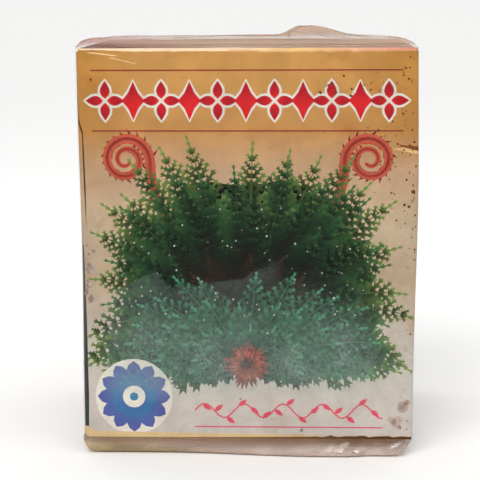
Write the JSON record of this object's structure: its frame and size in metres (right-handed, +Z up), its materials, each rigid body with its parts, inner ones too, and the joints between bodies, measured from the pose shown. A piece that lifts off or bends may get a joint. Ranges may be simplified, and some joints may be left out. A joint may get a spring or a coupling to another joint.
{
  "type": "boxed rose of jericho",
  "caption": "Small printed retail carton in clear overwrap film, holding a dried, curled-up resurrection plant.",
  "frame": {"origin": "on the surface the pack stands on, at the middle of the pack seen from above", "axes": "+Z up, the printed front faces -Y, +X to the right as seen from the front"},
  "size_m": [0.0765, 0.0586, 0.0973],
  "materials": {
    "printed_board": "printed and varnished, tan fading to cream, with a leafy design",
    "clear_film": "clear, glossy, slightly hazy and wrinkled",
    "dry_frond": "dry and fibrous, russet brown"
  },
  "bodies": {
    "root": {"carton": "printed_board", "film_wrap": "clear_film", "dried_plant": "dry_frond"}
  },
  "joints": []
}
